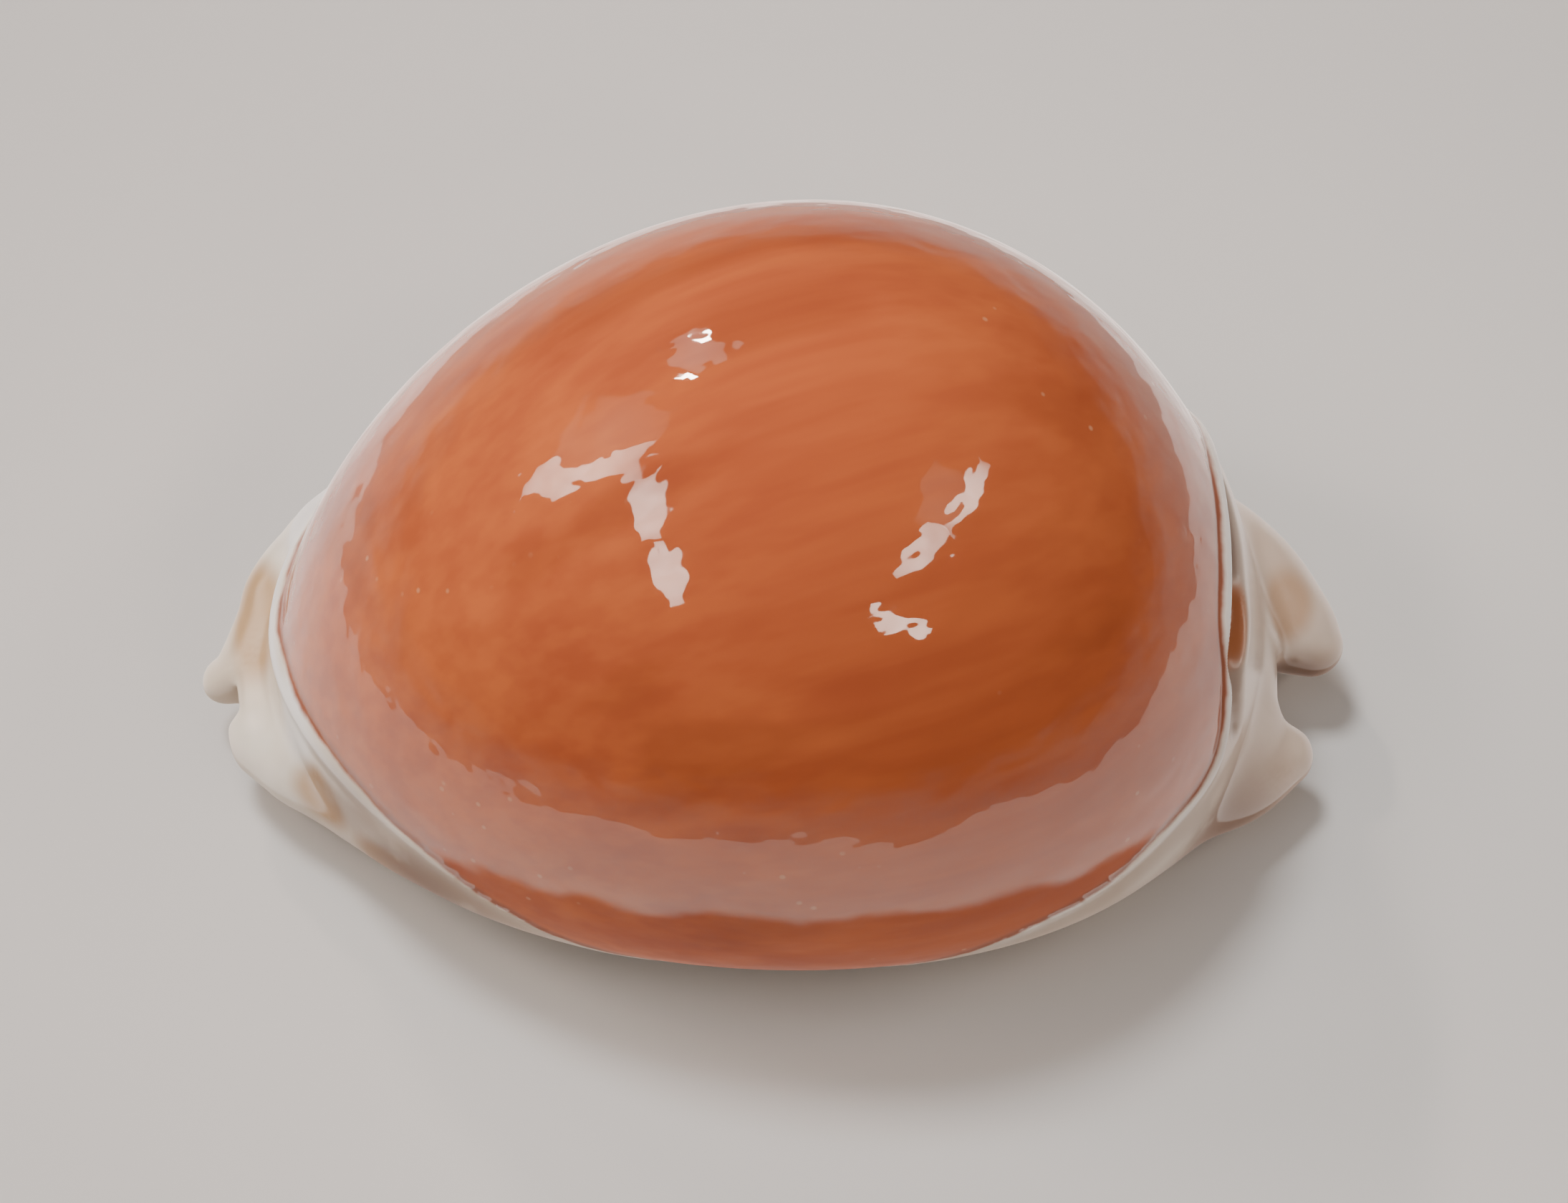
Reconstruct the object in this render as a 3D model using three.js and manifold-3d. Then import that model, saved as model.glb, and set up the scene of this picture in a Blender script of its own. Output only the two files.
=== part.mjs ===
// Golden cowrie shell, one solid, in millimetres.
// +X is the rear (spire) end, -X the front end, +Y the outer lip, +Z the back of the shell.
import * as THREE from 'three';
import { mergeVertices } from 'three/addons/utils/BufferGeometryUtils.js';
import Module from 'manifold-3d';

const wasm = await Module();
wasm.setup();

// Dome: an egg whose cross sections are superellipses, fuller below the widest level.
const peak_x = 3.2;
const front_reach = 45.3;
const rear_reach = 39.0;
const half_breadth = 33.0;
const dome_height = 53.0;
const margin_z = 18.0;
const margin_drop = 7.8;
const side_shift = 0.44;
const side_bow = -1.47;
const top_power = 2.0;
const low_power = 2.5;
const dome_rows = 29;
const dome_columns = 40;
const sliver_size = 0.08;

// Swollen lips and the webs that join them above the canals: x, y, z and radius.
const outer_lip = [
  [-46.5, -1.8, 6.5, 2.3], [-45.1, -1.3, 7.2, 2.7], [-43.2, 2.6, 8.8, 2.7], [-42.3, 5.4, 9.8, 2.7],
  [-40.2, 8.4, 10.4, 2.7], [-36.4, 11.2, 11.0, 3.2], [-24.0, 14.5, 12.0, 5.0], [0.0, 15.0, 14.0, 6.0],
  [22.0, 13.5, 13.0, 6.5], [33.8, 9.6, 10.5, 6.6], [39.6, 6.6, 9.0, 6.2], [44.4, 3.2, 8.0, 4.3],
  [46.7, 1.3, 7.5, 2.8],
];
const inner_lip = [
  [-42.9, -8.1, 6.5, 2.6], [-38.6, -10.5, 7.0, 3.5], [-32.7, -13.7, 8.0, 4.5], [-24.5, -16.4, 9.5, 5.4],
  [-6.0, -17.0, 13.0, 6.0], [14.0, -17.0, 13.0, 6.0], [26.5, -16.4, 9.5, 5.4], [34.5, -13.3, 8.0, 4.5],
  [39.6, -11.9, 7.0, 3.6], [43.7, -9.0, 6.5, 2.8],
];
const front_web = [
  [-42.4, 1.5, 8.6, 2.6], [-43.4, -2.6, 7.6, 3.0], [-43.0, -6.4, 7.3, 3.0], [-39.8, -10.2, 7.8, 3.2],
];
const rear_web = [
  [38.6, 6.9, 12.5, 2.4], [40.6, 0.7, 11.0, 3.0], [40.6, -5.8, 10.0, 3.2], [38.4, -11.0, 9.5, 3.0],
];

// Raised edge of the white callus where it meets the dome, front and rear.
const front_band = [
  [-36.2, 12.5, 16.5, 0.6], [-38.6, 9.0, 15.6, 0.9], [-40.4, 4.5, 15.4, 1.1], [-41.0, 0.0, 15.8, 1.1],
  [-40.8, -4.0, 16.6, 1.1], [-40.0, -7.6, 17.2, 1.1], [-38.6, -10.4, 18.2, 1.0], [-36.4, -14.9, 18.7, 0.8],
  [-34.0, -17.9, 18.9, 0.6],
];
const rear_ridge = [
  [34.6, 14.0, 24.8, 0.4], [36.4, 7.6, 27.9, 0.6], [37.1, 0.7, 29.0, 0.6], [37.1, -5.1, 28.5, 0.6],
  [37.2, -9.4, 26.6, 0.6], [37.3, -12.4, 23.2, 0.6], [37.8, -13.9, 18.8, 0.5],
];

// Hollow over the hidden spire: a groove along the rear ridge, with a pit in it.
const rear_groove = [
  [37.4, 6.0, 26.4, 0.8], [38.4, 2.0, 26.6, 1.4], [38.7, -3.0, 26.2, 1.6], [38.8, -7.5, 24.8, 1.7],
  [39.0, -10.5, 22.4, 1.4], [39.3, -12.8, 19.0, 0.9],
];
const pit_centre = [38.7, -7.0, 24.4];
const pit_half_sizes = [1.9, 3.8, 2.4];

// Aperture: centre line and half width seen from below, and the chamber behind it.
const slit_line = [
  [-60, -6.0], [-47, -5.0], [-38, -3.2], [-20, 0.8], [0, 2.8], [18, 2.8], [32, 0.0], [40, -3.0],
  [46, -4.4], [60, -5.2],
];
const slit_half_width = [
  [-60, 1.3], [-45, 1.3], [-38, 2.1], [-25, 2.4], [0, 2.1], [25, 2.0], [36, 2.0], [43, 2.2], [60, 2.4],
];
const slit_top_z = 9.0;
const chamber_z = 9.0;
const chamber_radius = 3.9;
const front_notch_x = -46.3;
const rear_notch_x = 43.4;
const notch_top_z = 26.0;

// Shallow valley along the aperture, so the teeth stay clear of the resting plane.
const valley_radius = 10.0;
const valley_depth = 1.2;

// Teeth: one row on each lip.
const teeth_from_x = -36.0;
const teeth_to_x = 35.0;
const tooth_count = 25;
const tooth_reach = 0.55;
const tooth_half_width = 0.62;
const tooth_half_height = 0.75;
const outer_tooth_half_length = 2.4;
const inner_tooth_half_length = 1.9;
const steps_per_tooth = 4;

// Flat resting spot, and the shift that puts the base centre on the origin.
const base_cut_z = 0.5;
const centre_shift_x = -0.34;

function to_solid(geometry) {
  geometry.deleteAttribute('normal');
  geometry.deleteAttribute('uv');
  const merged = mergeVertices(geometry, 1e-4);
  return new wasm.Manifold(new wasm.Mesh({
    numProp: 3,
    vertProperties: new Float32Array(merged.attributes.position.array),
    triVerts: new Uint32Array(merged.index.array),
  }));
}

function interpolate(table, x) {
  for (let i = 1; i < table.length; i++) {
    if (x <= table[i][0]) {
      const share = (x - table[i - 1][0]) / (table[i][0] - table[i - 1][0]);
      return table[i - 1][1] + share * (table[i][1] - table[i - 1][1]);
    }
  }
  return table[table.length - 1][1];
}

const mean_reach = 2 / (1 / front_reach + 1 / rear_reach);
const egg_skew = (rear_reach - mean_reach) / rear_reach;

function dome_body() {
  const geometry = new THREE.SphereGeometry(1, dome_columns, dome_rows);
  const position = geometry.attributes.position;
  for (let i = 0; i < position.count; i++) {
    const along = position.getY(i);
    const across = position.getX(i);
    const upward = -position.getZ(i);
    const round = Math.hypot(across, upward);
    const power = upward > 0 ? top_power : low_power;
    const half_height = upward > 0 ? dome_height - margin_z : margin_z;
    const cosine = round > 1e-9 ? across / round : 1;
    const sine = round > 1e-9 ? upward / round : 0;
    const fullness = (Math.abs(cosine) ** power + Math.abs(sine) ** power) ** (-1 / power);
    position.setXYZ(
      i,
      peak_x + mean_reach * along / (1 - egg_skew * along),
      side_shift * along + side_bow * along * along + half_breadth * round * fullness * cosine,
      margin_z - margin_drop * along * along + half_height * round * fullness * sine,
    );
  }
  return to_solid(geometry);
}

// A ball drawn along a curve, its radius changing on the way.
function swept_ball(stations, columns, rows) {
  const path = new THREE.CatmullRomCurve3(
    stations.map((s) => new THREE.Vector3(s[0], s[1], s[2])), false, 'catmullrom', 0.5);
  const sizes = new THREE.CatmullRomCurve3(
    stations.map((s) => new THREE.Vector3(s[3], 0, 0)), false, 'catmullrom', 0.5);
  const geometry = new THREE.SphereGeometry(1, columns, rows);
  const position = geometry.attributes.position;
  const uv = geometry.attributes.uv;
  const cap_share = 4 / rows;
  const skyward = new THREE.Vector3(0, 0, 1);
  for (let i = 0; i < position.count; i++) {
    const row = 1 - uv.getY(i);
    const turn = Math.atan2(position.getZ(i), position.getX(i));
    const share = THREE.MathUtils.clamp((row - cap_share) / (1 - 2 * cap_share), 0, 1);
    let cap_angle = 0;
    if (row < cap_share) cap_angle = -(1 - row / cap_share) * Math.PI / 2;
    if (row > 1 - cap_share) cap_angle = (1 - (1 - row) / cap_share) * Math.PI / 2;
    const at_pole = Math.abs(position.getX(i)) < 1e-9 && Math.abs(position.getZ(i)) < 1e-9;
    const radius = sizes.getPoint(share).x;
    const centre = path.getPoint(share);
    const forward = path.getTangent(share);
    const sideways = new THREE.Vector3().crossVectors(forward, skyward).normalize();
    const upward = new THREE.Vector3().crossVectors(sideways, forward);
    const ring = at_pole ? 0 : radius * Math.cos(cap_angle);
    centre.addScaledVector(forward, radius * Math.sin(cap_angle));
    centre.addScaledVector(sideways, ring * Math.cos(turn));
    centre.addScaledVector(upward, -ring * Math.sin(turn));
    position.setXYZ(i, centre.x, centre.y, centre.z);
  }
  return to_solid(geometry);
}

function ellipsoid(centre, half_sizes, turn_z, columns, rows) {
  const geometry = new THREE.SphereGeometry(1, columns, rows);
  geometry.scale(half_sizes[0], half_sizes[1], half_sizes[2]);
  geometry.rotateZ(turn_z);
  geometry.translate(centre[0], centre[1], centre[2]);
  return to_solid(geometry);
}

const slit_curve = new THREE.SplineCurve(slit_line.map((p) => new THREE.Vector2(p[0], p[1])));

function slit_point(x) {
  let low = 0;
  let high = 1;
  for (let i = 0; i < 40; i++) {
    const middle = (low + high) / 2;
    if (slit_curve.getPoint(middle).x < x) low = middle;
    else high = middle;
  }
  const point = slit_curve.getPoint(low);
  const direction = slit_curve.getTangent(low);
  return { point, direction, normal: new THREE.Vector2(-direction.y, direction.x) };
}

const tooth_pitch = (teeth_to_x - teeth_from_x) / (tooth_count - 1);

// Outline of the slit from below, waved by the teeth between the two toothed ends.
function toothed_slit() {
  const outer_edge = [];
  const inner_edge = [];
  const step = tooth_pitch / steps_per_tooth;
  const step_count = Math.round((rear_notch_x - front_notch_x) / step);
  for (let i = 0; i <= step_count; i++) {
    const x = front_notch_x + (rear_notch_x - front_notch_x) * i / step_count;
    const { point, normal } = slit_point(x);
    const toothed = x > teeth_from_x - tooth_pitch / 2 && x < teeth_to_x + tooth_pitch / 2;
    const wave = toothed ? 0.5 + 0.5 * Math.cos(2 * Math.PI * (x - teeth_from_x) / tooth_pitch) : 0;
    const half = interpolate(slit_half_width, x) - tooth_reach * wave;
    outer_edge.push(point.clone().addScaledVector(normal, half));
    inner_edge.push(point.clone().addScaledVector(normal, -half));
  }
  const outline = new THREE.Shape(inner_edge.concat(outer_edge.reverse()));
  const geometry = new THREE.ExtrudeGeometry(outline, { depth: slit_top_z + 5, bevelEnabled: false });
  geometry.translate(0, 0, -5);
  return to_solid(geometry);
}

// Canal notch: open to above and below, its inner end round.
function notch(inner_x, outward) {
  const half = interpolate(slit_half_width, inner_x);
  const inner = slit_point(inner_x + outward * half).point;
  const far = slit_point(inner_x + outward * 12).point;
  const outline = new THREE.Shape();
  const heading = Math.atan2(far.y - inner.y, far.x - inner.x);
  outline.absarc(inner.x, inner.y, half, heading + Math.PI / 2, heading + 1.5 * Math.PI, false);
  outline.lineTo(far.x + half * Math.sin(heading), far.y - half * Math.cos(heading));
  outline.lineTo(far.x - half * Math.sin(heading), far.y + half * Math.cos(heading));
  const geometry = new THREE.ExtrudeGeometry(
    outline, { depth: notch_top_z + 5, bevelEnabled: false, curveSegments: 10 });
  geometry.translate(0, 0, -5);
  return to_solid(geometry);
}

function chamber() {
  const stations = [];
  for (let x = -38; x <= 36; x += 7.4) {
    const { point } = slit_point(x);
    stations.push([point.x, point.y, chamber_z, chamber_radius]);
  }
  return swept_ball(stations, 10, 20);
}

function valley() {
  const stations = [];
  for (let x = -50; x <= 50; x += 10) {
    const { point } = slit_point(x);
    stations.push([point.x, point.y, base_cut_z + valley_depth - valley_radius, valley_radius]);
  }
  return swept_ball(stations, 32, 20);
}

function lowest_of(stations, x, y) {
  const path = new THREE.CatmullRomCurve3(
    stations.map((s) => new THREE.Vector3(s[0], s[1], s[2])), false, 'catmullrom', 0.5);
  const sizes = new THREE.CatmullRomCurve3(
    stations.map((s) => new THREE.Vector3(s[3], 0, 0)), false, 'catmullrom', 0.5);
  let lowest = Infinity;
  for (let i = 0; i <= 200; i++) {
    const centre = path.getPoint(i / 200);
    const radius = sizes.getPoint(i / 200).x;
    const gap = Math.hypot(x - centre.x, y - centre.y);
    if (gap < radius) lowest = Math.min(lowest, centre.z - Math.sqrt(radius * radius - gap * gap));
  }
  return lowest;
}

function base_z(x, y) {
  const along = (x - peak_x) / (mean_reach + egg_skew * (x - peak_x));
  const round = Math.sqrt(Math.max(0, 1 - along * along));
  const across = Math.abs(y - side_shift * along - side_bow * along * along) / half_breadth;
  const drop = Math.max(0, round ** low_power - across ** low_power) ** (1 / low_power);
  const dome_low = margin_z - margin_drop * along * along - margin_z * drop;
  return Math.min(dome_low, lowest_of(outer_lip, x, y), lowest_of(inner_lip, x, y));
}

function teeth() {
  const solids = [];
  for (const side of [1, -1]) {
    const half_length = side > 0 ? outer_tooth_half_length : inner_tooth_half_length;
    for (let i = 0; i < tooth_count; i++) {
      const x = teeth_from_x + i * tooth_pitch;
      const { point, direction, normal } = slit_point(x);
      const offset = interpolate(slit_half_width, x) - tooth_reach + half_length * 0.92;
      const place = point.clone().addScaledVector(normal, side * offset);
      const valley_z = base_cut_z + valley_depth - valley_radius
        + Math.sqrt(valley_radius ** 2 - offset ** 2);
      const z = Math.max(base_z(place.x, place.y), valley_z, base_cut_z);
      solids.push(ellipsoid(
        [place.x, place.y, z], [tooth_half_width, half_length, tooth_half_height],
        Math.atan2(direction.y, direction.x), 6, 4));
    }
  }
  return wasm.Manifold.union(solids);
}

const body = wasm.Manifold.union([
  dome_body(),
  swept_ball(outer_lip, 14, 44),
  swept_ball(inner_lip, 14, 36),
  swept_ball(front_web, 12, 14),
  swept_ball(rear_web, 12, 14),
  swept_ball(front_band, 8, 24),
  swept_ball(rear_ridge, 8, 24),
]);

const openings = wasm.Manifold.union([
  toothed_slit(),
  chamber(),
  valley(),
  notch(front_notch_x, -1),
  notch(rear_notch_x, 1),
  swept_ball(rear_groove, 8, 18),
  ellipsoid(pit_centre, pit_half_sizes, 0, 12, 8),
]);

const under_base = new THREE.BoxGeometry(140, 100, 20);
under_base.translate(0, 0, base_cut_z - 10);

const shell_solid = body
  .subtract(openings)
  .add(teeth())
  .subtract(to_solid(under_base))
  .simplify(sliver_size)
  .translate([centre_shift_x, 0, -base_cut_z]);

const mesh = shell_solid.getMesh();
const shell_geometry = new THREE.BufferGeometry();
shell_geometry.setAttribute('position', new THREE.BufferAttribute(mesh.vertProperties, 3));
shell_geometry.setIndex(new THREE.BufferAttribute(mesh.triVerts, 1));
shell_geometry.computeVertexNormals();

const shell = new THREE.Mesh(
  shell_geometry, new THREE.MeshStandardMaterial({ color: 0xc4703e, roughness: 0.12, metalness: 0 }));
shell.name = 'shell';

const cowrie = new THREE.Group();
cowrie.name = 'golden_cowrie';
cowrie.add(shell);
export default cowrie;
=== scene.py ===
import math

import bpy
import numpy as np
from bpy.props import FloatProperty, FloatVectorProperty, IntProperty, PointerProperty
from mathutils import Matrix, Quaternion, Vector


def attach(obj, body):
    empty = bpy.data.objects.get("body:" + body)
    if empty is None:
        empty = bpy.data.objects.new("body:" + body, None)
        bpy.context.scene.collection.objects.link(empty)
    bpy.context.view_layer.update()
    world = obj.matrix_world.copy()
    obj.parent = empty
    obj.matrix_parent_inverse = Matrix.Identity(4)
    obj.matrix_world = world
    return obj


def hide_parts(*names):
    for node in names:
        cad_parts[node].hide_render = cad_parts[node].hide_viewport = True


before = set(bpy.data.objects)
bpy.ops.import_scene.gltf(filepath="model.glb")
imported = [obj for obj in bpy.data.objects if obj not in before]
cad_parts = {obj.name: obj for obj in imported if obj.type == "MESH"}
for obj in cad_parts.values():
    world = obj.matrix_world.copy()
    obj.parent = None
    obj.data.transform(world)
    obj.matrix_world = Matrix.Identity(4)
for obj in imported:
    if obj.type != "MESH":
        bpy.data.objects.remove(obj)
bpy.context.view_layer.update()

bl_info = {
    "name": "Golden cowrie shell",
    "version": (1, 0, 0),
    "blender": (4, 5, 0),
    "location": "View3D > Sidebar > Cowrie",
    "description": "Builds a glossy golden cowrie shell with its studio",
    "category": "Add Mesh",
}

# The shell's form, in millimetres, with the same named values as its solid.
# Model space differs from the frame by this shift, because the base is cut flat.
frame_shift = np.array([-0.34, 0.0, -0.5])
base_cut_z = 0.5

peak_x = 3.2
front_reach = 45.3
rear_reach = 39.0
half_breadth = 33.0
dome_height = 53.0
margin_z = 18.0
margin_drop = 7.8
side_shift = 0.44
side_bow = -1.47
top_power = 2.0
low_power = 2.5

outer_lip = [
    (-46.5, -1.8, 6.5, 2.3), (-45.1, -1.3, 7.2, 2.7), (-43.2, 2.6, 8.8, 2.7), (-42.3, 5.4, 9.8, 2.7),
    (-40.2, 8.4, 10.4, 2.7), (-36.4, 11.2, 11.0, 3.2), (-24.0, 14.5, 12.0, 5.0), (0.0, 15.0, 14.0, 6.0),
    (22.0, 13.5, 13.0, 6.5), (33.8, 9.6, 10.5, 6.6), (39.6, 6.6, 9.0, 6.2), (44.4, 3.2, 8.0, 4.3),
    (46.7, 1.3, 7.5, 2.8),
]
inner_lip = [
    (-42.9, -8.1, 6.5, 2.6), (-38.6, -10.5, 7.0, 3.5), (-32.7, -13.7, 8.0, 4.5), (-24.5, -16.4, 9.5, 5.4),
    (-6.0, -17.0, 13.0, 6.0), (14.0, -17.0, 13.0, 6.0), (26.5, -16.4, 9.5, 5.4), (34.5, -13.3, 8.0, 4.5),
    (39.6, -11.9, 7.0, 3.6), (43.7, -9.0, 6.5, 2.8),
]
front_web = [
    (-42.4, 1.5, 8.6, 2.6), (-43.4, -2.6, 7.6, 3.0), (-43.0, -6.4, 7.3, 3.0), (-39.8, -10.2, 7.8, 3.2),
]
rear_web = [
    (38.6, 6.9, 12.5, 2.4), (40.6, 0.7, 11.0, 3.0), (40.6, -5.8, 10.0, 3.2), (38.4, -11.0, 9.5, 3.0),
]
rear_groove = [
    (37.4, 6.0, 26.4, 0.8), (38.4, 2.0, 26.6, 1.4), (38.7, -3.0, 26.2, 1.6), (38.8, -7.5, 24.8, 1.7),
    (39.0, -10.5, 22.4, 1.4), (39.3, -12.8, 19.0, 0.9),
]
pit_centre = (38.7, -7.0, 24.4)
pit_half_sizes = (1.9, 3.8, 2.4)

# Places where the callus is tan: centre and half sizes.
tan_zones = [
    ((-43.9, 1.5, 11.5), (2.8, 7.0, 4.5)),
    ((-37.0, -15.5, 12.0), (7.0, 3.6, 4.5)),
    ((-29.5, -21.5, 9.5), (10.0, 4.0, 5.0)),
    ((43.8, 2.8, 12.0), (3.6, 4.2, 3.0)),
]

# Places where the callus is brown, partly real colour and partly painted shade on the low margins: centre,
# half sizes and strength.
brown_and_shade_zones = [
    ((38.5, -17.0, 8.5), (12.0, 8.0, 9.0), 0.8),
    ((-29.0, -23.5, 11.5), (14.0, 7.0, 7.0), 0.9),
    ((-34.8, -18.2, 15.2), (8.0, 6.0, 7.0), 0.5),
    ((46.0, -1.9, 7.4), (6.0, 3.0, 4.2), 0.85),
]

# Painted highlight on the saddle between the front lobes and the back, a whiter patch: centre and half
# sizes.
saddle_highlight_centre = (-39.8, -11.0, 16.2)
saddle_highlight_half_sizes = (3.0, 5.0, 5.0)

slit_line = [
    (-60, -6.0), (-47, -5.0), (-38, -3.2), (-20, 0.8), (0, 2.8), (18, 2.8), (32, 0.0), (40, -3.0),
    (46, -4.4), (60, -5.2),
]
slit_half_width = [
    (-60, 1.3), (-45, 1.3), (-38, 2.1), (-25, 2.4), (0, 2.1), (25, 2.0), (36, 2.0), (43, 2.2), (60, 2.4),
]
slit_top_z = 9.0
chamber_z = 9.0
chamber_radius = 3.9
front_notch_x = -46.3
rear_notch_x = 43.4
valley_radius = 10.0
valley_depth = 1.2
teeth_from_x = -36.0
teeth_to_x = 35.0
tooth_count = 25

# Distance over which the form's slope is measured.
slope_step = 0.04

# Radii of the soft joins between the forms.
rear_web_blend = 2.6
front_web_blend = 3.0
outer_lip_blend = 1.2
inner_lip_blend = 2.4
deep_cut_blend = 1.2
shallow_cut_blend = 1.0
slit_blend = 0.8

# Teeth on the smooth form: how far they run out on the base, their rise and the dip between them.
outer_tooth_run = 4.6
inner_tooth_run = 3.6
tooth_rise = 0.85
tooth_dip = 0.12

# Room round the slit that counts as the aperture's inside.
aperture_half_room = 6.5
aperture_room_top = 14

# Upper edge of the callus all round the shell: bearing from the dome's axis in degrees
# (0 is the rear, 180 the front, negative the inner-lip side), its height, its bead's height and width.
# The callus stands proud of the back by the step.
callus_axis_x = 3.0
callus_step = 0.12
callus_edge = [
    (-180, 16.6, 0.65, 1.1), (-171, 18.4, 0.60, 1.1), (-161, 19.3, 0.34, 1.0), (-152, 19.0, 0.14, 0.8),
    (-142, 17.5, 0.06, 0.7), (-132, 14.6, 0.03, 0.7), (-115, 10.0, 0.02, 0.7), (-90, 8.0, 0.0, 0.7),
    (-72, 11.0, 0.0, 0.7), (-60, 14.2, 0.04, 0.6), (-48, 16.0, 0.10, 0.5), (-36, 18.2, 0.16, 0.6),
    (-26, 19.4, 0.28, 0.6), (-20, 23.6, 0.38, 0.6), (-14, 27.8, 0.42, 0.6), (-6, 29.4, 0.42, 0.6),
    (4, 29.5, 0.42, 0.6), (13, 28.2, 0.38, 0.6), (22, 24.4, 0.30, 0.6), (34, 18.5, 0.20, 0.6),
    (50, 13.5, 0.10, 0.6), (75, 9.0, 0.0, 0.7), (100, 8.0, 0.0, 0.7), (125, 10.0, 0.02, 0.7),
    (145, 13.0, 0.15, 0.8), (158, 14.6, 0.40, 0.9), (168, 15.5, 0.65, 1.1), (180, 16.6, 0.65, 1.1),
]


def smooth_min(a, b, k):
    h = np.clip(0.5 + 0.5 * (b - a) / k, 0, 1)
    return b + (a - b) * h - k * h * (1 - h)


def smooth_max(a, b, k):
    return -smooth_min(-a, -b, k)


def smooth_step(low, high, value):
    t = np.clip((value - low) / (high - low), 0, 1)
    return t * t * (3 - 2 * t)


def curve_through(stations, count):
    """Points on a smooth curve through the stations, all columns at once."""
    p = np.array(stations, float)
    ends = np.vstack([2 * p[0] - p[1], p, 2 * p[-1] - p[-2]])
    place = np.linspace(0, len(p) - 1, count)
    i = np.minimum(place.astype(int), len(p) - 2)
    u = (place - i)[:, None]
    p0, p1, p2, p3 = ends[i], ends[i + 1], ends[i + 2], ends[i + 3]
    return 0.5 * (
        2 * p1 + (p2 - p0) * u + (2 * p0 - 5 * p1 + 4 * p2 - p3) * u**2
        + (3 * p1 - p0 - 3 * p2 + p3) * u**3
    )


slit_points = curve_through(slit_line, 400)
slit_widths = curve_through(slit_half_width, 200)


def slit_y(x):
    return np.interp(x, slit_points[:, 0], slit_points[:, 1])


def slit_side(p):
    """Signed distance sideways from the slit's centre line, seen from below."""
    x = p[:, 0]
    slope = slit_y(x + 0.5) - slit_y(x - 0.5)
    return (p[:, 1] - slit_y(x)) / np.sqrt(1 + slope**2)


def slit_half(x):
    return np.interp(x, slit_widths[:, 0], slit_widths[:, 1])


def bearing(p):
    return np.degrees(np.arctan2(p[:, 1], p[:, 0] - callus_axis_x))


# The edge's rows run on past both ends, so that its curve closes smoothly at the front.
edge_before = [(turn - 360, *rest) for turn, *rest in callus_edge[-5:-1]]
edge_after = [(turn + 360, *rest) for turn, *rest in callus_edge[1:5]]
edge_table = curve_through(edge_before + callus_edge + edge_after, 900)


def callus_height(p):
    return np.interp(bearing(p), edge_table[:, 0], edge_table[:, 1])


def callus_bead(p):
    return np.maximum(np.interp(bearing(p), edge_table[:, 0], edge_table[:, 2]), 0)


def callus_bead_width(p):
    return np.interp(bearing(p), edge_table[:, 0], edge_table[:, 3])


mean_reach = 2 / (1 / front_reach + 1 / rear_reach)
egg_skew = (rear_reach - mean_reach) / rear_reach


def egg_field(p):
    x = p[:, 0] - peak_x
    along = np.clip(x / (mean_reach + egg_skew * x), -1.4, 1.4)
    across = np.abs(p[:, 1] - side_shift * along - side_bow * along**2) / half_breadth
    up = p[:, 2] - margin_z + margin_drop * along**2
    power = np.where(up > 0, top_power, low_power)
    high = np.abs(up) / np.where(up > 0, dome_height - margin_z, margin_z)
    round_part = ((across + 1e-9) ** power + (high + 1e-9) ** power) ** (1 / power)
    return np.sqrt(along**2 + round_part**2)


def gradient(field, p, step):
    parts = []
    for axis in range(3):
        move = np.zeros(3)
        move[axis] = step
        parts.append((field(p + move) - field(p - move)) / (2 * step))
    return np.stack(parts, -1)


def egg_distance(p):
    size = np.linalg.norm(gradient(egg_field, p, 0.05), axis=1)
    return (egg_field(p) - 1) / np.maximum(size, 0.012)


class SweptBall:
    """A ball drawn along a curve, its radius changing on the way."""

    def __init__(self, stations, count, reach):
        self.points = curve_through(stations, count)
        self.reach = reach

    def distance(self, p):
        low = self.points[:, :3].min(0) - self.points[:, 3].max() - self.reach
        high = self.points[:, :3].max(0) + self.points[:, 3].max() + self.reach
        near = np.all((p > low) & (p < high), axis=1)
        far = self.reach * 2.0
        best = np.full(len(p), far)
        q = p[near]
        found = np.full(len(q), far)
        for start, end in zip(self.points[:-1], self.points[1:]):
            step = end[:3] - start[:3]
            share = np.clip((q - start[:3]) @ step / (step @ step), 0, 1)
            radius = start[3] + (end[3] - start[3]) * share
            away = np.linalg.norm(q - start[:3] - share[:, None] * step, axis=1) - radius
            found = np.minimum(found, away)
        best[near] = found
        return best


outer_ball = SweptBall(outer_lip, 161, 5.0)
inner_ball = SweptBall(inner_lip, 145, 5.0)
front_web_ball = SweptBall(front_web, 19, 5.0)
rear_web_ball = SweptBall(rear_web, 19, 5.0)
rear_groove_ball = SweptBall(rear_groove, 21, 3.0)
chamber_stations = [(x, slit_y(x), chamber_z, chamber_radius) for x in np.arange(-38, 36.5, 7.4)]
chamber_ball = SweptBall(chamber_stations, 40, 4.0)


def opening_distance(p):
    """Slit, canals and chamber: negative inside the opening."""
    side = np.abs(slit_side(p)) - slit_half(p[:, 0])
    beyond = np.minimum(rear_notch_x - p[:, 0], p[:, 0] - front_notch_x)
    roof = smooth_min(beyond, p[:, 2] - slit_top_z, slit_blend)
    slot = smooth_max(side, roof, slit_blend)
    return smooth_min(slot, chamber_ball.distance(p), shallow_cut_blend)


def tooth_wave(p):
    pitch = (teeth_to_x - teeth_from_x) / (tooth_count - 1)
    wave = 0.5 + 0.5 * np.cos(2 * np.pi * (p[:, 0] - teeth_from_x) / pitch)
    ends = smooth_step(teeth_from_x - 2.2, teeth_from_x - 0.6, p[:, 0])
    ends = ends * (1 - smooth_step(teeth_to_x + 0.6, teeth_to_x + 2.2, p[:, 0]))
    return wave**1.4 * ends


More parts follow.
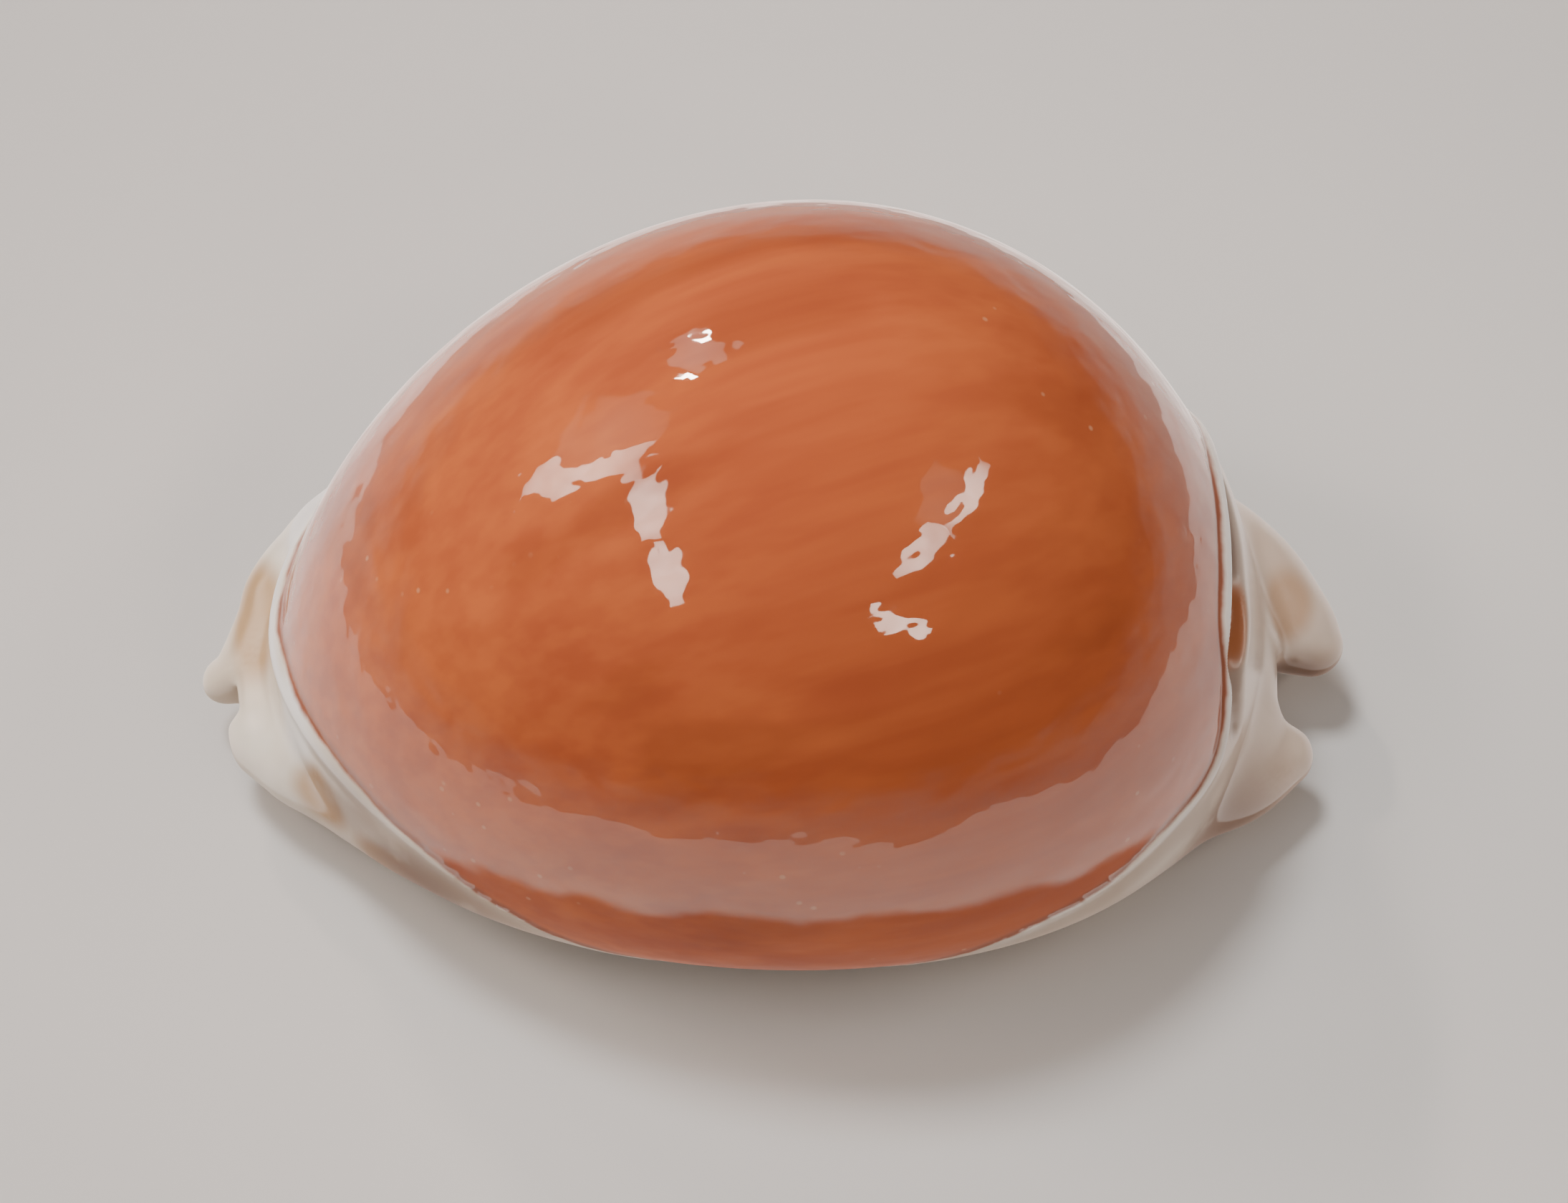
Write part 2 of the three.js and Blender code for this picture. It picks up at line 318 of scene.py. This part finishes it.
def tooth_window(p):
    """Where teeth stand: from inside the slit out to their length on the base."""
    side = slit_side(p)
    out = np.abs(side) - slit_half(p[:, 0])
    length = np.where(side > 0, outer_tooth_run, inner_tooth_run)
    low = 1 - smooth_step(4.5, 8.0, p[:, 2])
    return (1 - smooth_step(length * 0.35, length, out)) * low


def callus_inside(p):
    """Distance down the surface from the callus edge, positive on the callus."""
    return callus_height(p) - p[:, 2]


def shell_distance(p):
    body = egg_distance(p)
    body = smooth_min(body, rear_web_ball.distance(p), rear_web_blend)
    body = smooth_min(body, front_web_ball.distance(p), front_web_blend)
    body = smooth_min(body, outer_ball.distance(p), outer_lip_blend)
    body = smooth_min(body, inner_ball.distance(p), inner_lip_blend)
    inside = callus_inside(p)
    bead = callus_bead(p)
    width = callus_bead_width(p)
    bead_shape = np.exp(-(((inside - 1.2 * width) / width) ** 2))
    on_callus = smooth_step(-0.35, 0.35, inside)
    thickened = 0.25 * bead * on_callus * (1 - smooth_step(5, 9, inside))
    body = body - bead * bead_shape - thickened + callus_step * (1 - on_callus)
    pit = np.linalg.norm((p - pit_centre) / pit_half_sizes, axis=1) - 1
    body = smooth_max(body, -rear_groove_ball.distance(p), deep_cut_blend)
    body = smooth_max(body, -pit * min(pit_half_sizes), shallow_cut_blend)
    side = slit_side(p)
    valley = np.hypot(side, p[:, 2] - (base_cut_z + valley_depth - valley_radius)) - valley_radius
    body = smooth_max(body, -valley, shallow_cut_blend)
    body = smooth_max(body, -opening_distance(p), deep_cut_blend)
    return body - tooth_window(p) * (tooth_rise * tooth_wave(p) - tooth_dip)


def mouth_colour(p):
    """Orange between the teeth and just inside the aperture, not out on the canals."""
    along = smooth_step(-41, -36, p[:, 0]) * (1 - smooth_step(36, 40, p[:, 0]))
    out = np.abs(slit_side(p)) - slit_half(p[:, 0])
    reach = (1 - smooth_step(0.2, 4.2, out)) * (1 - smooth_step(6.0, 14.0, p[:, 2]))
    return along * reach * (1 - 0.8 * tooth_wave(p) * tooth_window(p))


# Grey-brown in the rear groove, partly painted shade in the hollow.
def hollow_grey_and_shade_colour(p):
    return 1 - smooth_step(-0.2, 1.0, rear_groove_ball.distance(p))


def callus_measure(p):
    """Distance down from the callus edge; the walls of the aperture count as callus."""
    in_aperture = (np.abs(slit_side(p)) < aperture_half_room) & (p[:, 2] < aperture_room_top)
    return np.where(in_aperture, 20, np.clip(callus_inside(p), -20, 20))


def zone_strength(p, centre, half_sizes, core, edge):
    """1 within the core's share of the zone, falling to 0 at the edge's share."""
    away = np.linalg.norm((p - centre) / np.array(half_sizes), axis=1)
    return 1 - smooth_step(core, edge, away)


def slot_colour(p):
    return zone_strength(p, pit_centre, pit_half_sizes, 1.0, 1.4)


def saddle_highlight_colour(p):
    return zone_strength(p, saddle_highlight_centre, saddle_highlight_half_sizes, 0.4, 1.1)


def tan_colour(p):
    """Tan zones: the front wing, the low margin below the front and the rear lobe's top."""
    return np.max([zone_strength(p, *zone, 0.55, 1.05) for zone in tan_zones], axis=0)


def brown_and_shade_colour(p):
    """Brown zones, partly painted shade: the low margins at both ends and the side of the rear lobe."""
    return np.max([weight * zone_strength(p, *zone, 0.1, 1.05) for *zone, weight in brown_and_shade_zones], axis=0)


def lobe_shade(p, normals):
    """Painted shade of the callus's sheltered flanks, clear of the base and fading towards the front knob.
    """
    turned = 1 - smooth_step(-0.45, 0.4, normals[:, 2])
    sideways = np.abs(np.abs(bearing(p)) - 90)
    inside = callus_inside(p)
    flank = smooth_step(0.2, 1.2, inside) * (1 - smooth_step(2.5, 8.0, inside))
    flank = flank * (1 - smooth_step(55, 72, sideways))
    return np.maximum(turned, flank) * smooth_step(1.0, 9.0, p[:, 2]) * smooth_step(-48, -36, p[:, 0])


def surface_normal(p):
    slope = gradient(shell_distance, p, slope_step)
    return slope / np.maximum(np.linalg.norm(slope, axis=1, keepdims=True), 1e-9)


# A wrapped socket: shader maths written as plain expressions.
class Socket:
    def __init__(self, tree, socket):
        self.tree = tree
        self.socket = socket

    def node(self, kind, settings=None, inputs=None, output=0):
        made = self.tree.nodes.new(kind)
        for name, value in (settings or {}).items():
            setattr(made, name, value)
        for name, value in (inputs or {}).items():
            target = made.inputs[name]
            if isinstance(value, Socket):
                self.tree.links.new(value.socket, target)
            else:
                target.default_value = value
        return Socket(self.tree, made.outputs[output])

    def maths(self, operation, *values):
        return self.node("ShaderNodeMath", {"operation": operation}, dict(enumerate(values)))

    def __add__(self, other):
        return self.maths("ADD", self, other)

    __radd__ = __add__

    def __sub__(self, other):
        return self.maths("SUBTRACT", self, other)

    def __rsub__(self, other):
        return self.maths("SUBTRACT", other, self)

    def __mul__(self, other):
        return self.maths("MULTIPLY", self, other)

    __rmul__ = __mul__

    def step(self, low, high):
        """Smooth rise from 0 at low to 1 at high."""
        return self.node(
            "ShaderNodeMapRange", {"interpolation_type": "SMOOTHSTEP"},
            {"Value": self, "From Min": low, "From Max": high})

    def mixed(self, first, second):
        """First colour where this is 0, second where it is 1."""
        return self.node(
            "ShaderNodeMix", {"data_type": "RGBA", "clamp_factor": True},
            {0: self, 6: first, 7: second}, 2)


def colour(red, green, blue):
    """Linear colour with full alpha from screen values 0 to 255."""
    def linear(value):
        value /= 255
        return value / 12.92 if value <= 0.04045 else ((value + 0.055) / 1.055) ** 2.4
    return (linear(red), linear(green), linear(blue), 1.0)


class CowrieShellSettings(bpy.types.PropertyGroup):
    voxel: FloatProperty(
        name="Mesh size", description="Size of the mesh's squares", default=0.00072,
        min=0.0003, max=0.002, unit="LENGTH")
    relax_rounds: IntProperty(
        name="Relax rounds", description="Times the mesh is evened out and put back on the form",
        default=4, min=1, max=8)
    back_colour: FloatVectorProperty(
        name="Back", description="Orange of the glossy back", subtype="COLOR", size=4,
        default=colour(206, 111, 62), min=0, max=1)
    back_dark: FloatVectorProperty(
        name="Back, darker", description="Deeper orange of the growth streaks", subtype="COLOR", size=4,
        default=colour(168, 82, 50), min=0, max=1)
    callus_colour: FloatVectorProperty(
        name="Callus", description="White of the callus on the base and ends", subtype="COLOR", size=4,
        default=colour(244, 236, 223), min=0, max=1)
    callus_tan: FloatVectorProperty(
        name="Callus, tan", description="Tan of the callus's zones and mottling", subtype="COLOR", size=4,
        default=colour(190, 155, 116), min=0, max=1)
    tooth_colour: FloatVectorProperty(
        name="Between teeth", description="Orange between the teeth", subtype="COLOR", size=4,
        default=colour(196, 104, 44), min=0, max=1)


class CowrieStageSettings(bpy.types.PropertyGroup):
    camera_height: FloatProperty(
        name="Camera elevation", description="Angle of the camera above the floor", default=math.radians(60),
        subtype="ANGLE")
    camera_distance: FloatProperty(
        name="Camera distance", description="From the camera to the shell's middle", default=0.45,
        unit="LENGTH")
    pool_radius: FloatProperty(
        name="Light pool", description="Radius of the brightly lit floor round the shell", default=0.16,
        min=0.05, max=1.0, unit="LENGTH")
    card_length: FloatProperty(
        name="Card length", description="Length of the card that the lower gloss mirrors", default=0.26,
        min=0.12, max=1.0, unit="LENGTH")
    card_width: FloatProperty(
        name="Card width", description="Width of the card that the lower gloss mirrors", default=0.185,
        min=0.12, max=1.0, unit="LENGTH")
    card_power: FloatProperty(
        name="Card power", description="Power of the card that the lower gloss mirrors", default=0.12,
        min=0, max=5, unit="POWER")
    floor_colour: FloatVectorProperty(
        name="Floor", description="Pale floor", subtype="COLOR", size=4, default=(0.62, 0.61, 0.60, 1.0),
        min=0, max=1)


def shell_material(settings):
    material = bpy.data.materials.new("cowrie shell")
    material.use_nodes = True
    tree = material.node_tree
    tree.nodes.clear()
    start = Socket(tree, None)
    place = start.node("ShaderNodeTexCoord", output=3)

    def noise(scale, detail, rotation=(0, 0, 0), stretch=(1, 1, 1)):
        at = start.node(
            "ShaderNodeMapping", {"vector_type": "TEXTURE"},
            {"Vector": place, "Rotation": rotation, "Scale": stretch})
        return start.node(
            "ShaderNodeTexNoise", {},
            {"Vector": at, "Scale": scale, "Detail": detail, "Roughness": 0.5})

    def measure(name):
        return start.node("ShaderNodeAttribute", {"attribute_name": name}, output=2)

    inside = measure("callus")
    mouth = measure("mouth")
    hollow_grey_and_shade = measure("hollow_grey_and_shade")
    slot = measure("slot")
    tan = measure("tan")
    brown_and_shade = measure("brown_and_shade")
    crest = measure("crest")
    saddle_highlight = measure("saddle_highlight")
    shade = measure("shade")

    lengthwise = start.node("ShaderNodeSeparateXYZ", {}, {"Vector": place})
    rear_end = lengthwise.step(0.033, 0.039)

    # Orange back: growth streaks along a slant, broad drift, painted shade darkening the rear end, and fine
    # pale specks.
    slant = (0.0, 0.0, math.radians(19))
    streaks = noise(170.0, 3.0, slant, (12.0, 1.0, 1.0)).step(0.34, 0.66)
    fine_streaks = noise(480.0, 2.0, slant, (10.0, 1.0, 1.0)).step(0.35, 0.65)
    drift = noise(26.0, 3.0).step(0.3, 0.7)
    back = (streaks * 0.35 + fine_streaks * 0.25 + drift * 0.40).mixed(
        settings.back_dark, settings.back_colour)
    lines = noise(110.0, 1.0, slant, (14.0, 1.0, 1.0)).step(0.56, 0.68)
    back = (lines * 0.28).mixed(back, colour(128, 58, 34))
    # Painted shade: the back darkens towards the rear end.
    painted_rear_shade = lengthwise.step(-0.02, 0.04)
    back = (painted_rear_shade * 0.45).mixed(back, colour(150, 68, 40))
    speck_cells = start.node(
        "ShaderNodeTexVoronoi", {"feature": "F1"}, {"Vector": place, "Scale": 420.0})
    speck_keep = noise(60.0, 1.0).step(0.56, 0.64)
    specks = (1 - speck_cells.step(0.05, 0.14)) * speck_keep * 0.3
    back = specks.mixed(back, colour(235, 190, 150))

    # Callus: cream with tan zones, brown zones partly painted shade, painted shade on the sheltered flanks
    # and in the hollow, a white crest, a painted highlight on the saddle, and orange between the teeth.
    callus = (noise(60.0, 4.0).step(0.40, 0.70) * 0.45).mixed(
        settings.callus_colour, settings.callus_tan)
    callus = (tan * noise(110.0, 3.0).step(0.15, 0.5)).mixed(callus, settings.callus_tan)
    callus = (rear_end * 0.5).mixed(callus, colour(192, 160, 142))
    # Painted shade on the callus's sheltered and downward-facing flanks.
    callus = (shade * 0.5).mixed(callus, colour(150, 116, 94))
    callus = (crest * 2.4).mixed(callus, colour(240, 236, 234))
    # Brown on the low margins and the rear lobe's side, partly painted shade.
    callus = (brown_and_shade * noise(150.0, 3.0).step(0.2, 0.45)).mixed(callus, colour(120, 88, 69))
    # Painted highlight: a whiter patch on the saddle.
    callus = saddle_highlight.mixed(callus, colour(246, 243, 240))
    callus = mouth.mixed(callus, settings.tooth_colour)
    # Grey-brown in the rear groove, partly painted shade.
    callus = (hollow_grey_and_shade * 0.8).mixed(callus, colour(140, 118, 108))
    callus = slot.mixed(callus, colour(180, 116, 78))

    # The thin greyish mauve line where the callus laps over the back.
    ragged = inside + (noise(240.0, 3.0) - 0.5) * 0.8
    lap = ragged.step(-0.15, 0.25)
    mauve = ragged.step(-1.3, -0.1) * (1 - lap)
    back = (mauve * 0.65).mixed(back, colour(128, 88, 74))
    skin = lap.mixed(back, callus)

    # The gloss mirrors the room down to about the shell's widest level, and is dull below it.
    steep = measure("steep") + (noise(150.0, 3.0) - 0.5) * 0.14
    mirrored = steep.step(0.10, 0.15)

    ripple = noise(80.0, 1.0, slant, (2.5, 1.0, 1.0))
    crinkle = noise(290.0, 1.5, slant, (1.3, 1.0, 1.0))
    waves = (ripple - 0.5 + (crinkle - 0.5) * 0.95) * (1 - lap * 0.8)
    bump = start.node(
        "ShaderNodeBump", {}, {"Strength": 1.0, "Distance": 0.00018, "Height": waves})
    glossy = start.node(
        "ShaderNodeBsdfPrincipled", {},
        {"Base Color": skin, "Roughness": 0.03 + lap * 0.25, "IOR": 1.58, "Normal": bump})
    dull = start.node(
        "ShaderNodeBsdfPrincipled", {},
        {"Base Color": skin, "Roughness": 0.5, "Specular IOR Level": 0.1, "Normal": bump})
    shader = start.node("ShaderNodeMixShader", {}, {0: mirrored, 1: dull, 2: glossy})
    output = tree.nodes.new("ShaderNodeOutputMaterial")
    tree.links.new(shader.socket, output.inputs["Surface"])
    return material


def floor_material(settings):
    material = bpy.data.materials.new("pale floor")
    material.use_nodes = True
    shader = material.node_tree.nodes["Principled BSDF"]
    shader.inputs["Base Color"].default_value = settings.floor_colour
    shader.inputs["Roughness"].default_value = 0.7
    return material


def deselect_all():
    bpy.ops.object.select_all(action="DESELECT")


def take_positions(mesh):
    flat = np.empty(len(mesh.vertices) * 3, dtype=np.float32)
    mesh.vertices.foreach_get("co", flat)
    return flat.reshape(-1, 3).astype(float) * 1000 - frame_shift


def give_positions(mesh, p):
    flat = ((p + frame_shift) / 1000).astype(np.float32)
    mesh.vertices.foreach_set("co", flat.ravel())
    mesh.update()


def put_on_form(mesh, rounds):
    """Moves every vertex along its normal until it lies on the shell's form."""
    p = take_positions(mesh)
    normals = np.empty(len(mesh.vertices) * 3, dtype=np.float32)
    mesh.vertices.foreach_get("normal", normals)
    n = normals.reshape(-1, 3).astype(float)
    for _ in range(rounds):
        here = shell_distance(p)
        slope = (shell_distance(p + n * 0.05) - here) / 0.05
        slope = np.where(slope > 0.35, slope, 0.35)
        p = p - n * np.clip(here / slope, -0.45, 0.45)[:, None]
    p[:, 2] = np.maximum(p[:, 2], base_cut_z)
    give_positions(mesh, p)
    return p


def refine_details(piece, p):
    """Halves the squares round the teeth, the two ends and the raised edges."""
    detail = (p[:, 0] < -38) | (p[:, 0] > 38) | (tooth_window(p) > 0.02)
    detail |= (np.abs(callus_inside(p) - 1) < 2.2) & (callus_bead(p) > 0.12)
    halve_faces(piece, detail)
    p = take_positions(piece.data)
    crest = (np.abs(callus_inside(p) - 1.2) < 1.6) & (p[:, 0] > 30) & (callus_bead(p) > 0.2)
    halve_faces(piece, crest)


def halve_faces(piece, chosen):
    """Subdivides the faces whose first corner is chosen."""
    bpy.ops.object.mode_set(mode="EDIT")
    bpy.ops.mesh.select_mode(type="FACE")
    bpy.ops.mesh.select_all(action="DESELECT")
    bpy.ops.object.mode_set(mode="OBJECT")
    corners = [face.vertices[0] for face in piece.data.polygons]
    piece.data.polygons.foreach_set("select", chosen[corners])
    bpy.ops.object.mode_set(mode="EDIT")
    bpy.ops.mesh.subdivide(number_cuts=1)
    bpy.ops.object.mode_set(mode="OBJECT")


def settle_on_form(mesh, rounds):
    """Last step: follows the form's own slope, so that no vertex is left off the surface."""
    p = take_positions(mesh)
    for _ in range(rounds):
        here = shell_distance(p)
        off = np.nonzero(np.abs(here) > 0.004)[0]
        slope = gradient(shell_distance, p[off], slope_step)
        steepness = np.maximum((slope**2).sum(1), 0.1)
        p[off] -= slope * (np.clip(here[off], -0.5, 0.5) / steepness)[:, None]
    p[:, 2] = np.maximum(p[:, 2], base_cut_z)
    give_positions(mesh, p)
    return p


def store_measure(mesh, name, values):
    attribute = mesh.attributes.new(name, "FLOAT", "POINT")
    attribute.data.foreach_set("value", values.astype(np.float32))


class COWRIE_OT_shell(bpy.types.Operator):
    """Model the shell from a copy of its solid, remeshed and laid on the smooth form"""

    bl_idname = "cowrie.shell"
    bl_label = "Shell"

    def relax(self, piece, iterations):
        relax = piece.modifiers.new("relax", "SMOOTH")
        relax.factor = 0.5
        relax.iterations = iterations
        bpy.ops.object.modifier_apply(modifier=relax.name)

    def execute(self, context):
        settings = context.scene.cowrie_shell
        deselect_all()
        source = bpy.data.objects["shell"]
        piece = source.copy()
        piece.data = source.data.copy()
        piece.name = "cowrie"
        piece.data.name = "cowrie"
        context.collection.objects.link(piece)
        piece.select_set(True)
        context.view_layer.objects.active = piece
        bpy.ops.object.mode_set(mode="EDIT")
        bpy.ops.mesh.select_all(action="SELECT")
        bpy.ops.mesh.remove_doubles(threshold=1e-6)
        bpy.ops.object.mode_set(mode="OBJECT")
        remesh = piece.modifiers.new("even squares", "REMESH")
        remesh.mode = "VOXEL"
        remesh.voxel_size = settings.voxel
        bpy.ops.object.modifier_apply(modifier=remesh.name)
        for _ in range(settings.relax_rounds):
            self.relax(piece, 6)
            p = put_on_form(piece.data, 3)
        refine_details(piece, p)
        for iterations in (3, 2):
            self.relax(piece, iterations)
            put_on_form(piece.data, 3)
        p = settle_on_form(piece.data, 6)
        bpy.ops.object.shade_smooth()
        store_measure(piece.data, "callus", callus_measure(p))
        store_measure(piece.data, "mouth", mouth_colour(p))
        store_measure(piece.data, "hollow_grey_and_shade", hollow_grey_and_shade_colour(p))
        store_measure(piece.data, "slot", slot_colour(p))
        store_measure(piece.data, "tan", tan_colour(p))
        store_measure(piece.data, "brown_and_shade", brown_and_shade_colour(p))
        crest = (callus_inside(p) - 1.2 * callus_bead_width(p)) / (0.8 * callus_bead_width(p))
        store_measure(piece.data, "crest", callus_bead(p) * np.exp(-(crest**2)))
        store_measure(piece.data, "saddle_highlight", saddle_highlight_colour(p))
        normals = surface_normal(p)
        store_measure(piece.data, "steep", normals[:, 2])
        store_measure(piece.data, "shade", lobe_shade(p, normals))
        normals[p[:, 2] < base_cut_z + 0.01] = (0, 0, -1)
        piece.data.normals_split_custom_set_from_vertices(normals.astype(np.float32).tolist())
        piece.data.materials.clear()
        piece.data.materials.append(shell_material(settings))
        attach(piece, "root")
        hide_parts("shell")
        return {"FINISHED"}


class COWRIE_OT_stage(bpy.types.Operator):
    """Lay the pale floor, hang the soft lights and aim the camera"""

    bl_idname = "cowrie.stage"
    bl_label = "Stage"

    def lamp(self, context, kind, name, turn, rise, distance, power, roll=0):
        bpy.ops.object.light_add(type=kind, location=(0, 0, 0))
        lamp = context.object
        lamp.name = name
        lamp.data.energy = power
        a, e = math.radians(turn), math.radians(rise)
        back = Vector((math.sin(a) * math.cos(e), -math.cos(a) * math.cos(e), math.sin(e)))
        lamp.location = Vector((0.0, 0.0, 0.03)) + back * distance
        aim = (-back).to_track_quat("-Z", "Y") @ Quaternion((0, 0, 1), math.radians(roll))
        lamp.rotation_euler = aim.to_euler()
        return lamp

    def panel(self, context, name, turn, rise, distance, wide, tall, roll, power, spread=0):
        lamp = self.lamp(context, "AREA", name, turn, rise, distance, power, roll)
        lamp.data.shape = "RECTANGLE"
        if spread:
            lamp.data.spread = spread
            lamp.data.energy = power * math.tan(spread / 2) ** 2 / 3
        lamp.data.color = (1.0, 0.84, 0.72)
        lamp.data.size = wide
        lamp.data.size_y = tall
        return lamp

    def execute(self, context):
        settings = context.scene.cowrie_stage
        deselect_all()
        bpy.ops.mesh.primitive_plane_add(size=6.0, location=(0, 0, 0))
        floor = context.object
        floor.name = "floor"
        floor.data.materials.append(floor_material(settings))

        world = context.scene.world or bpy.data.worlds.new("studio")
        context.scene.world = world
        world.use_nodes = True
        world.node_tree.nodes["Background"].inputs["Color"].default_value = (1.0, 0.98, 0.96, 1.0)
        world.node_tree.nodes["Background"].inputs["Strength"].default_value = 0.05

        highlight_spread = math.radians(40)
        # Panels that the gloss mirrors, their light kept to the shell: azimuth from the
        # camera's side, elevation, distance, width, height, turn about its own axis and power.
        for name, turn, rise, distance, wide, tall, roll, power in (
            ("left upright", -107, 37, 0.9, 0.13, 0.42, 5, 2.6),
            ("left crossbar", -86, 53, 0.9, 0.34, 0.11, -2, 1.8),
            ("left foot", -54, 49, 0.9, 0.24, 0.06, -30, 0.7),
            ("left glow", -120, 40, 1.0, 0.30, 0.36, 0, 0.4),
            ("right slant", 92, 46, 0.9, 0.50, 0.07, -21, 1.7),
            ("right crossbar", 55, 53, 0.9, 0.32, 0.10, -4, 1.45),
            ("right foot", 33, 42, 0.9, 0.18, 0.06, -32, 0.6),
            ("right glow", 84, 54, 1.0, 0.40, 0.20, -16, 0.25),
            ("back spot", -155, 36, 1.0, 0.075, 0.055, 0, 2.2),
            ("back spot, small", -143, 44, 1.0, 0.045, 0.038, 0, 0.9),
            ("back glow", -152, 38, 1.05, 0.17, 0.20, 0, 0.3),
        ):
            self.panel(context, name, turn, rise, distance, wide, tall, roll, power, highlight_spread)
        # Soft light from above on the shell and a round of floor.
        pool_distance = 1.3
        pool = self.lamp(context, "SPOT", "pool", -140, 68, pool_distance, 78.0)
        pool.data.spot_size = 2 * math.atan(settings.pool_radius / pool_distance)
        pool.data.spot_blend = 0.1
        pool.data.shadow_soft_size = 0.2
        pool.visible_glossy = False
        # A round pale card on the floor that only the gloss sees: the pale band low on the shell.
        card = self.lamp(context, "AREA", "card", 0, 90, 0.0, settings.card_power)
        card.location = (0.0, -0.022, 0.0004)
        card.rotation_euler = (math.pi, 0.0, 0.0)
        card.data.shape = "ELLIPSE"
        card.data.size, card.data.size_y = settings.card_length, settings.card_width
        card.data.color = (1.0, 0.84, 0.78)
        card.visible_camera = False
        card.visible_diffuse = False
        # Two soft fills that nothing mirrors: one for the front end, one for the whole floor.
        fill = self.panel(context, "fill", -100, 38, 1.2, 0.5, 0.5, 0, 1.2)
        fill.visible_glossy = False
        wide = self.panel(context, "wide", -30, 72, 1.6, 1.0, 1.0, 0, 4.2)
        wide.data.color = (1.0, 1.0, 1.0)
        wide.visible_glossy = False

        width, height = 2189, 1680
        pixels_per_metre = 16780.0
        target_pixel = (1073.0, 767.0)
        target = Vector((0.0, 0.0, 0.026)) + Vector(frame_shift) / 1000
        e = settings.camera_height
        back = Vector((0.0, -math.cos(e), math.sin(e)))
        up = Vector((0.0, math.sin(e), math.cos(e)))
        aim = target + Vector((width / 2 - target_pixel[0], 0, 0)) / pixels_per_metre
        aim -= up * (height / 2 - target_pixel[1]) / pixels_per_metre
        data = bpy.data.cameras.new("camera")
        camera = bpy.data.objects.new("camera", data)
        context.collection.objects.link(camera)
        camera.location = aim + back * settings.camera_distance
        camera.rotation_euler = (-back).to_track_quat("-Z", "Y").to_euler()
        sensor_width = 36.0
        data.sensor_width = sensor_width
        data.lens = sensor_width * pixels_per_metre * settings.camera_distance / width
        data.clip_start, data.clip_end = 0.01, 20.0
        context.scene.camera = camera
        return {"FINISHED"}


class COWRIE_PT_panel(bpy.types.Panel):
    """Sizes, colours and the two build steps"""

    bl_idname = "COWRIE_PT_panel"
    bl_label = "Golden cowrie"
    bl_space_type = "VIEW_3D"
    bl_region_type = "UI"
    bl_category = "Cowrie"

    def draw(self, context):
        for group, operator in (
            (context.scene.cowrie_shell, COWRIE_OT_shell),
            (context.scene.cowrie_stage, COWRIE_OT_stage),
        ):
            box = self.layout.box()
            for name in group.__annotations__:
                box.prop(group, name)
            box.operator(operator.bl_idname)


classes = (CowrieShellSettings, CowrieStageSettings, COWRIE_OT_shell, COWRIE_OT_stage, COWRIE_PT_panel)


def register():
    for made in classes:
        bpy.utils.register_class(made)
    bpy.types.Scene.cowrie_shell = PointerProperty(type=CowrieShellSettings)
    bpy.types.Scene.cowrie_stage = PointerProperty(type=CowrieStageSettings)


def unregister():
    del bpy.types.Scene.cowrie_stage
    del bpy.types.Scene.cowrie_shell
    for made in reversed(classes):
        bpy.utils.unregister_class(made)


def main():
    register()
    bpy.ops.cowrie.shell()
    bpy.ops.cowrie.stage()


if __name__ == "__main__":
    main()
